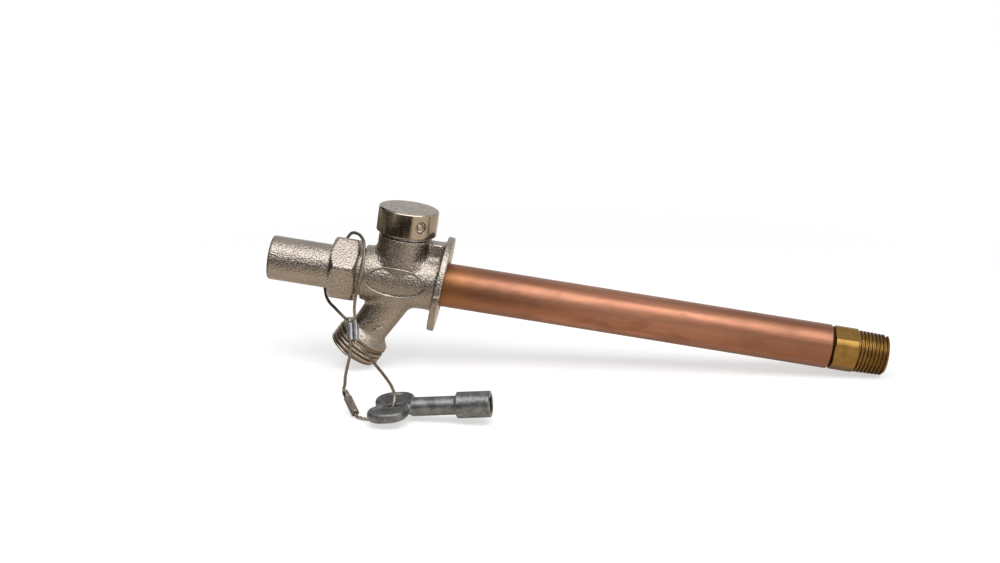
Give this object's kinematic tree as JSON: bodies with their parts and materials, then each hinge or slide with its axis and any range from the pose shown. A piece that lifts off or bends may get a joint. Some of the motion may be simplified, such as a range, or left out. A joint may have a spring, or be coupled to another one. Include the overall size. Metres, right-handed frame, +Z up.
{
  "type": "frost free sillcock",
  "caption": "Nickel plated frost free wall sillcock with a vacuum breaker, a lock shield, a hose spout, a long copper tube with a brass inlet and a tethered loose key.",
  "frame": {"origin": "on the tube's axis, where it meets the wall face of the flange", "axes": "+X along the tube from the key end towards the inlet, +Y to the far side, +Z up through the vacuum breaker"},
  "size_m": [0.3131, 0.1177, 0.0845],
  "materials": {
    "nickel_casting": "sand-cast brass, nickel plated",
    "nickel_polished": "turned brass, bright nickel plated",
    "copper": "drawn copper, satin",
    "brass": "turned brass",
    "zinc": "die-cast zinc, tumbled",
    "steel": "stainless steel",
    "aluminium": "pressed aluminium",
    "rubber": "black rubber",
    "packing": "graphited packing",
    "fibre": "hard fibre gasket",
    "plastic": "moulded acetal"
  },
  "bodies": {
    "body": {"head_casting": "nickel_casting", "lock_shield_bonnet": "nickel_casting", "bonnet_gasket": "fibre", "packing_washer": "brass", "packing_ring": "packing", "rod_guide": "plastic", "copper_tube": "copper", "inlet_fitting": "brass", "vacuum_breaker_cap": "nickel_polished", "cap_set_screw": "steel", "vent_seat": "plastic", "vent_seat_gasket": "rubber", "float_spring": "steel"},
    "valve_disc": {"seat_washer_holder": "brass", "seat_washer": "rubber", "seat_washer_screw": "brass"},
    "stem": {"operating_stem": "brass", "stem_o_ring_outer": "rubber", "stem_o_ring_inner": "rubber", "operating_rod": "brass", "stem_rod_pin": "steel"},
    "float": {"breaker_float": "plastic", "float_seal": "rubber"},
    "tether": {"tether_cable": "steel", "cable_crimp": "aluminium", "connector_barrel": "steel", "connector_ferrule": "steel"},
    "key": {"loose_key": "zinc"}
  },
  "joints": [
    {"name": "valve_travel", "type": "slide", "parent": "body", "child": "valve_disc", "axis": [-1, 0, 0], "range_m": [0, 0.0065]},
    {"name": "stem_turn", "type": "hinge", "parent": "valve_disc", "child": "stem", "pos_m": [0, 0, 0], "axis": [-1, 0, 0], "range_deg": [0, 1080]},
    {"name": "breaker_float_lift", "type": "slide", "parent": "body", "child": "float", "axis": [0, 0, 1], "range_m": [0, 0.004], "stiffness_N_per_m": 40, "deforming": ["float_spring"]},
    {"name": "tether_swing", "type": "hinge", "parent": "body", "child": "tether", "pos_m": [-0.05, 0, 0], "axis": [1, 0, 0], "range_deg": [-70, 0]},
    {"name": "key_swing", "type": "hinge", "parent": "tether", "child": "key", "pos_m": [-0.0095, -0.0769, -0.0399], "axis": [0.0862, 0.9962, 0.0129], "range_deg": [0, 11]}
  ],
  "couplings": [
    {"joint": "valve_travel", "follows": "stem_turn", "m_per_rad": 0.00034484}
  ]
}
